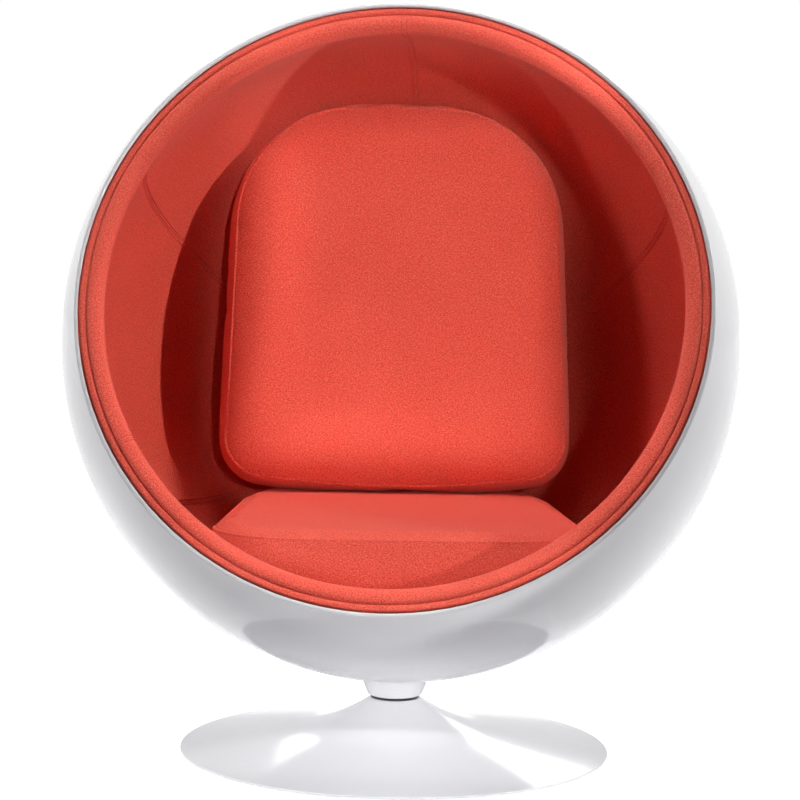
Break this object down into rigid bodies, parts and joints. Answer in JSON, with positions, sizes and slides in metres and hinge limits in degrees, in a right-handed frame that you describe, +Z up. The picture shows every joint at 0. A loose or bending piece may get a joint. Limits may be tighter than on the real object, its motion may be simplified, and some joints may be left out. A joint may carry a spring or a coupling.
{
  "type": "swivel ball lounge chair",
  "caption": "Lounge chair with a round white shell, open at a wide tilted mouth and lined in red fabric, with loose seat and back cushions, turning on a white trumpet foot.",
  "frame": {"origin": "on the floor, on the swivel axis, in the plane of the floor ring's underside", "axes": "+Z up, the mouth of the ball faces -Y with the swivel at rest, +X is to the right for a viewer facing the mouth"},
  "size_m": [1.0797, 0.9292, 1.1997],
  "materials": {
    "white_gelcoat": "gloss white gelcoat over moulded glass fibre",
    "white_paint": "gloss white baked paint",
    "red_wool": "orange-red wool weave, fine heather",
    "foam": "open-cell upholstery foam",
    "steel": "turned mild steel, oiled",
    "zinc_steel": "zinc-plated steel",
    "bearing_steel": "ground bearing steel",
    "cage_brass": "stamped brass",
    "bush_plastic": "natural acetal",
    "black_rubber": "matt black rubber",
    "plywood": "birch plywood",
    "ballast": "black-painted steel plate"
  },
  "bodies": {
    "base": {"foot_cone": "white_paint", "base_column": "steel", "ballast_disc": "ballast", "base_screws": "zinc_steel", "floor_ring": "black_rubber", "lower_bush": "bush_plastic", "upper_bush": "bush_plastic", "bearing_lower_race": "bearing_steel"},
    "cage": {"ball_cage": "cage_brass", "bearing_balls": "bearing_steel"},
    "seat": {"outer_shell": "white_gelcoat", "liner_panel_1": "red_wool", "liner_panel_2": "red_wool", "liner_panel_3": "red_wool", "liner_panel_4": "red_wool", "liner_panel_5": "red_wool", "liner_panel_6": "red_wool", "liner_dish": "red_wool", "rim_welt": "red_wool", "seat_cushion_cover": "red_wool", "seat_cushion_foam": "foam", "back_cushion_cover": "red_wool", "back_cushion_foam": "foam", "mount_pad": "plywood", "mount_plate": "steel", "shell_bolts": "zinc_steel", "shell_saddle": "steel", "swivel_spindle": "steel", "hub_collar": "white_paint", "swivel_seal": "black_rubber", "bearing_upper_race": "bearing_steel", "retaining_washer": "zinc_steel", "retaining_bolt": "zinc_steel"}
  },
  "joints": [
    {"name": "swivel", "type": "hinge", "parent": "base", "child": "seat", "pos_m": [0, 0, 0], "axis": [0, 0, 1], "continuous": true},
    {"name": "cage_turn", "type": "hinge", "parent": "base", "child": "cage", "pos_m": [0, 0, 0], "axis": [0, 0, 1], "continuous": true}
  ],
  "couplings": [
    {"joint": "cage_turn", "follows": "swivel", "ratio": 0.5}
  ]
}
